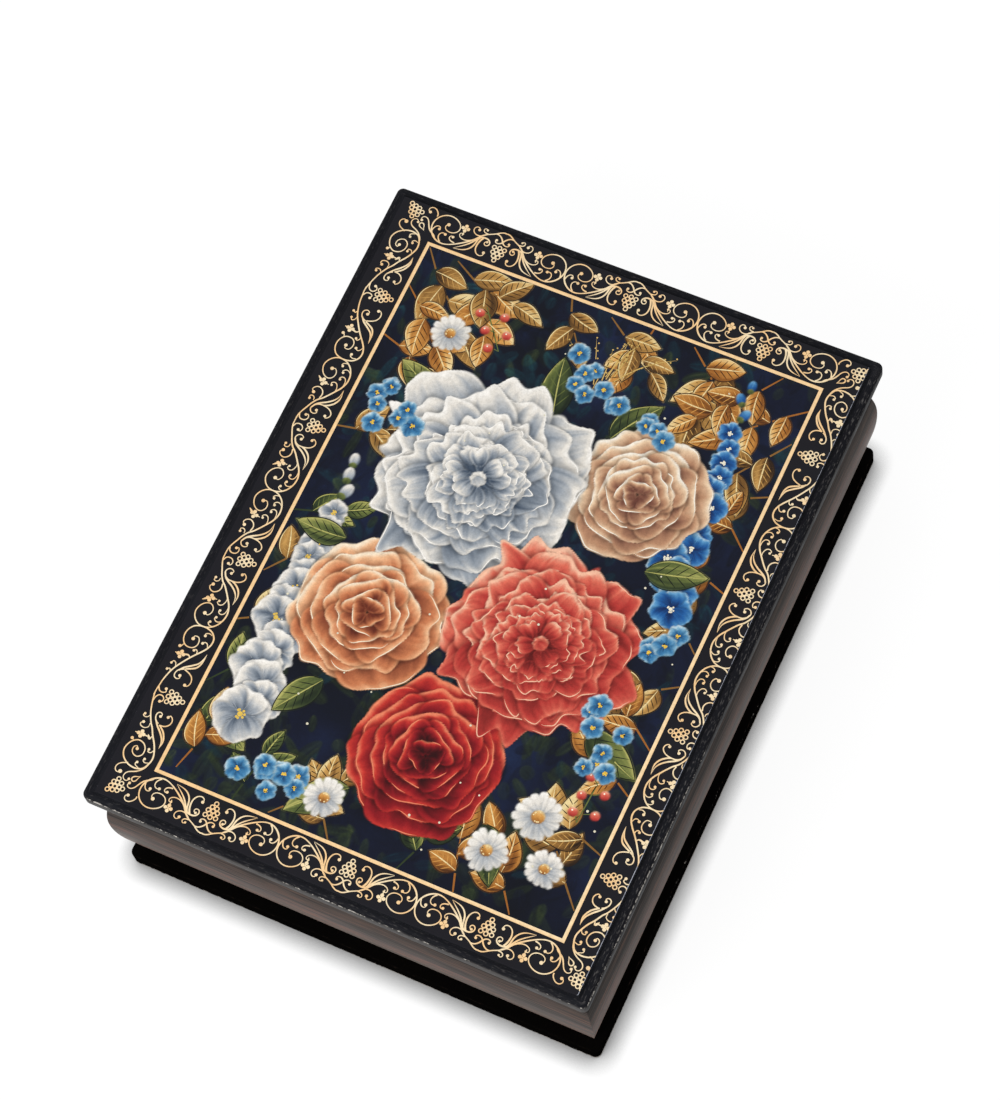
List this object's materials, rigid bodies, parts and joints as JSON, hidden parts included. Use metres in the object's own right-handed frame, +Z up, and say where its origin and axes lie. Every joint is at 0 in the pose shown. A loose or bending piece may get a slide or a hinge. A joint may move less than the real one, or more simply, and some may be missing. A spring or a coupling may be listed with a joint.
{
  "type": "decoupage box",
  "caption": "Rectangular lacquered wooden keepsake box with bellied mitred walls and a hinged lid that carries a picture sheet.",
  "frame": {"origin": "centre of the base board's flat underside", "axes": "+Z up; +Y along the box's long sides; +X towards the long side that opens, with the hinges along -X"},
  "size_m": [0.1196, 0.1604, 0.05],
  "materials": {
    "black_lacquer": "gloss black lacquer over wood",
    "brown_lacquered_wood": "dark reddish-brown stain under gloss lacquer, grain running along each wall",
    "varnished_paper": "printed paper glued on and sealed under gloss varnish, with a gold scroll border",
    "red_flock": "short matt red pile on card",
    "brass": "plain polished, a little dulled",
    "steel": "plain drawn wire"
  },
  "bodies": {
    "case": {"base_board": "black_lacquer", "wall_front": "brown_lacquered_wood", "wall_rear": "brown_lacquered_wood", "wall_near": "brown_lacquered_wood", "wall_far": "brown_lacquered_wood", "lining_floor": "red_flock", "lining_front": "red_flock", "lining_rear": "red_flock", "lining_near": "red_flock", "lining_far": "red_flock", "hinge_near_case_leaf": "brass", "hinge_far_case_leaf": "brass", "hinge_near_pin": "steel", "hinge_far_pin": "steel", "screw_near_case_1": "brass", "screw_near_case_2": "brass", "screw_far_case_1": "brass", "screw_far_case_2": "brass"},
    "lid": {"lid_board": "black_lacquer", "picture_sheet": "varnished_paper", "hinge_near_lid_leaf": "brass", "hinge_far_lid_leaf": "brass", "screw_near_lid_1": "brass", "screw_near_lid_2": "brass", "screw_far_lid_1": "brass", "screw_far_lid_2": "brass"}
  },
  "joints": [
    {"name": "lid_hinge", "type": "hinge", "parent": "case", "child": "lid", "pos_m": [-0.05679, 0, 0.04465], "axis": [0, -1, 0], "range_deg": [0, 108]}
  ]
}
